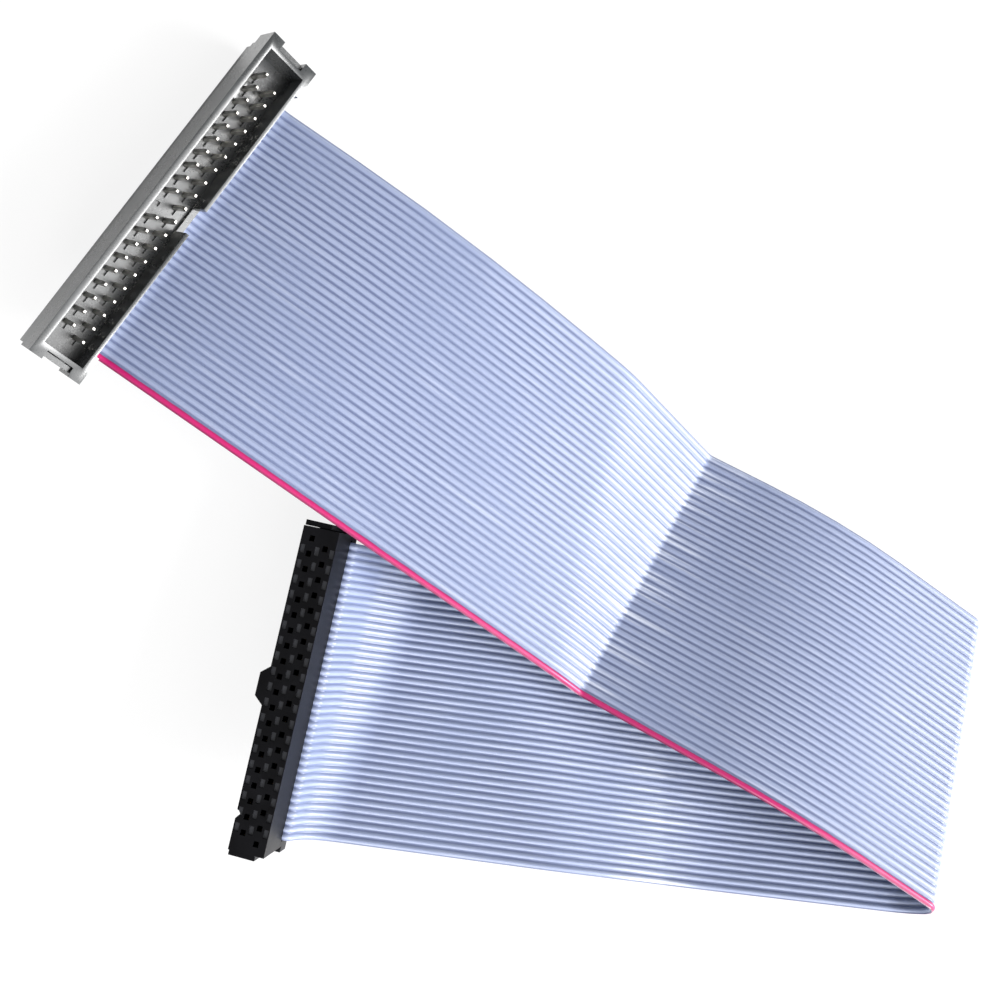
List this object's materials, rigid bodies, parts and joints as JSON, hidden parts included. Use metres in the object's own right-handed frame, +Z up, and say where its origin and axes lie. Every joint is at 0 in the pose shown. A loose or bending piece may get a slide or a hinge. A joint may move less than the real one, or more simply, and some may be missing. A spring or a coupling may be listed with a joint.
{
  "type": "ribbon cable",
  "caption": "Flat grey ribbon cable folded over on itself, with a shrouded male pin header pressed on one end, a female socket on the other and a stripe along one edge.",
  "frame": {"origin": "middle of the bounding box's bottom, on the surface that the cable lies on", "axes": "+Z up from that surface, X along the folded cable's longest way with the end loop towards +X, and +Y towards the male header"},
  "size_m": [0.1736, 0.1298, 0.0357],
  "materials": {
    "ribbon": "satin, soft PVC",
    "header_plastic": "satin moulded",
    "socket_plastic": "satin moulded",
    "pin_metal": "tin plated",
    "contact_metal": "plated spring metal"
  },
  "bodies": {
    "root": {"ribbon": "ribbon", "male_housing": "header_plastic", "male_cover": "header_plastic", "female_housing": "socket_plastic", "female_cover": "socket_plastic", "female_contacts_a": "contact_metal", "female_contacts_b": "contact_metal", "male_pin_01": "pin_metal", "male_pin_02": "pin_metal", "male_pin_03": "pin_metal", "male_pin_04": "pin_metal", "male_pin_05": "pin_metal", "male_pin_06": "pin_metal", "male_pin_07": "pin_metal", "male_pin_08": "pin_metal", "male_pin_09": "pin_metal", "male_pin_10": "pin_metal", "male_pin_11": "pin_metal", "male_pin_12": "pin_metal", "male_pin_13": "pin_metal", "male_pin_14": "pin_metal", "male_pin_15": "pin_metal", "male_pin_16": "pin_metal", "male_pin_17": "pin_metal", "male_pin_18": "pin_metal", "male_pin_19": "pin_metal", "male_pin_21": "pin_metal", "male_pin_22": "pin_metal", "male_pin_23": "pin_metal", "male_pin_24": "pin_metal", "male_pin_25": "pin_metal", "male_pin_26": "pin_metal", "male_pin_27": "pin_metal", "male_pin_28": "pin_metal", "male_pin_29": "pin_metal", "male_pin_30": "pin_metal", "male_pin_31": "pin_metal", "male_pin_32": "pin_metal", "male_pin_33": "pin_metal", "male_pin_34": "pin_metal", "male_pin_35": "pin_metal", "male_pin_36": "pin_metal", "male_pin_37": "pin_metal", "male_pin_38": "pin_metal", "male_pin_39": "pin_metal", "male_pin_40": "pin_metal"}
  },
  "joints": []
}
